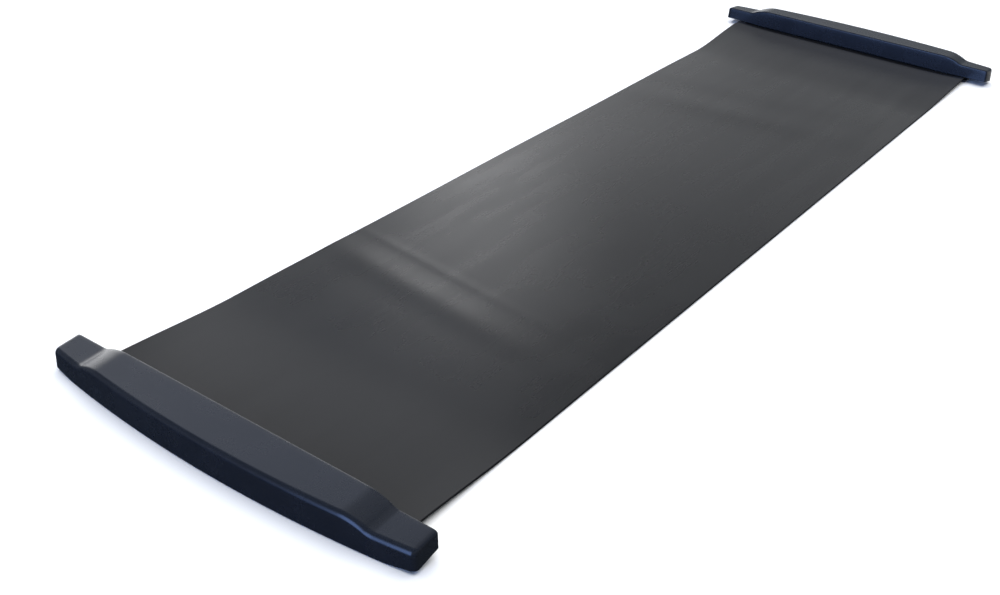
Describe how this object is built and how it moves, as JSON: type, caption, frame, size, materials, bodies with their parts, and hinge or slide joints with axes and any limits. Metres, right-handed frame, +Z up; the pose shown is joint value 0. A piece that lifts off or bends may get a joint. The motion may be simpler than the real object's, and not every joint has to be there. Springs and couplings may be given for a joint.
{
  "type": "slide board",
  "caption": "Roll-out slide board: a long flexible slick sheet on a non-slip backing, with a moulded end stop clamped to each end.",
  "frame": {"origin": "on the floor under the middle of the sheet", "axes": "+X along the board towards the right stop, +Y across the board, +Z up"},
  "size_m": [1.883, 0.5854, 0.0455],
  "materials": {
    "slick_sheet": "satin charcoal polymer sheet",
    "backing": "matt black non-slip backing",
    "stop_plastic": "satin navy-black moulded plastic",
    "base_plastic": "matt black moulded plastic",
    "clamp_steel": "satin black powder-coated flat bar",
    "fastener_steel": "zinc-plated",
    "grip_rubber": "matt rubber"
  },
  "bodies": {
    "mat_middle": {"slide_sheet_middle": "slick_sheet", "backing_middle": "backing"},
    "left_bend_1": {"left_slide_sheet_1": "slick_sheet", "left_backing_1": "backing"},
    "left_bend_2": {"left_slide_sheet_2": "slick_sheet", "left_backing_2": "backing"},
    "left_stop": {"left_slide_sheet_3": "slick_sheet", "left_backing_3": "backing", "left_cover": "stop_plastic", "left_base_plate": "base_plastic", "left_clamp_bar": "clamp_steel", "left_clamp_bolts": "fastener_steel", "left_clamp_nuts": "fastener_steel", "left_cover_screws": "fastener_steel", "left_grip_pad_1": "grip_rubber", "left_grip_pad_2": "grip_rubber", "left_grip_pad_3": "grip_rubber", "left_grip_pad_4": "grip_rubber"},
    "right_bend_1": {"right_slide_sheet_1": "slick_sheet", "right_backing_1": "backing"},
    "right_bend_2": {"right_slide_sheet_2": "slick_sheet", "right_backing_2": "backing"},
    "right_stop": {"right_slide_sheet_3": "slick_sheet", "right_backing_3": "backing", "right_cover": "stop_plastic", "right_base_plate": "base_plastic", "right_clamp_bar": "clamp_steel", "right_clamp_bolts": "fastener_steel", "right_clamp_nuts": "fastener_steel", "right_cover_screws": "fastener_steel", "right_grip_pad_1": "grip_rubber", "right_grip_pad_2": "grip_rubber", "right_grip_pad_3": "grip_rubber", "right_grip_pad_4": "grip_rubber"}
  },
  "joints": [
    {"name": "left_lift", "type": "hinge", "parent": "mat_middle", "child": "left_bend_1", "pos_m": [-0.6095, 0, 0.0035], "axis": [0, 1, 0], "range_deg": [0, 30]},
    {"name": "left_lift_2", "type": "hinge", "parent": "left_bend_1", "child": "left_bend_2", "pos_m": [-0.7095, 0, 0.00409], "axis": [0, 1, 0], "range_deg": [0, 30]},
    {"name": "left_lift_3", "type": "hinge", "parent": "left_bend_2", "child": "left_stop", "pos_m": [-0.8095, 0, 0.00692], "axis": [0, 1, 0], "range_deg": [0, 30]},
    {"name": "right_lift", "type": "hinge", "parent": "mat_middle", "child": "right_bend_1", "pos_m": [0.6095, 0, 0.0035], "axis": [0, -1, 0], "range_deg": [0, 30]},
    {"name": "right_lift_2", "type": "hinge", "parent": "right_bend_1", "child": "right_bend_2", "pos_m": [0.7095, 0, 0.00409], "axis": [0, -1, 0], "range_deg": [0, 30]},
    {"name": "right_lift_3", "type": "hinge", "parent": "right_bend_2", "child": "right_stop", "pos_m": [0.8095, 0, 0.00692], "axis": [0, -1, 0], "range_deg": [0, 30]}
  ],
  "couplings": [
    {"joint": "left_lift_2", "follows": "left_lift", "ratio": 1},
    {"joint": "left_lift_3", "follows": "left_lift", "ratio": 1},
    {"joint": "right_lift_2", "follows": "right_lift", "ratio": 1},
    {"joint": "right_lift_3", "follows": "right_lift", "ratio": 1}
  ]
}
